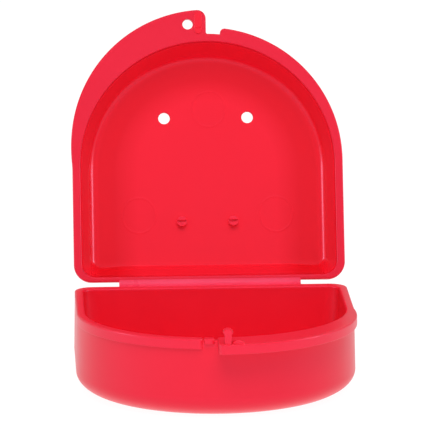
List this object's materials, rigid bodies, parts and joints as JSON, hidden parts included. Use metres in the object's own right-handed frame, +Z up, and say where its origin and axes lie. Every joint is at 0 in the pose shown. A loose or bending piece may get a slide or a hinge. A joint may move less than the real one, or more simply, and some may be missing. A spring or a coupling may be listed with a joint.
{
  "type": "mouthguard case",
  "caption": "D-shaped plastic mouthguard case with a living-hinge lid standing open, vent holes, a pull tab with a lanyard hole and a snap latch.",
  "frame": {"origin": "on the standing surface, under the middle of the tray", "axes": "+Z up, -Y towards the front of the case, +X to the right as seen from the front"},
  "size_m": [0.0841, 0.1171, 0.1057],
  "materials": {
    "red_plastic": "moulded polypropylene, satin",
    "thin_plastic": "thin flexed polypropylene, smooth"
  },
  "bodies": {
    "tray": {"tray_body": "red_plastic", "tray_flange_left": "red_plastic", "tray_flange_right": "red_plastic", "tray_catch_tooth": "red_plastic", "tray_hinge_leaf": "red_plastic", "latch_stop": "red_plastic", "hinge_film": "thin_plastic"},
    "lid": {"lid_body": "red_plastic", "lid_flange_tab": "red_plastic", "lid_flange_right": "red_plastic", "lid_hinge_leaf": "red_plastic", "tab_grip_pad": "red_plastic", "lid_stud_left": "red_plastic", "lid_stud_right": "red_plastic"},
    "post": {"latch_post": "red_plastic"}
  },
  "joints": [
    {"name": "lid_hinge", "type": "hinge", "parent": "tray", "child": "lid", "pos_m": [0, 0.0389, 0.02465], "axis": [1, 0, 0], "range_deg": [-72.1, 107.9]},
    {"name": "latch_flex", "type": "hinge", "parent": "tray", "child": "post", "pos_m": [0.0024, -0.0451, 0.0245], "axis": [0, 1, 0], "range_deg": [0, 5], "stiffness_Nm_per_rad": 0.5}
  ]
}
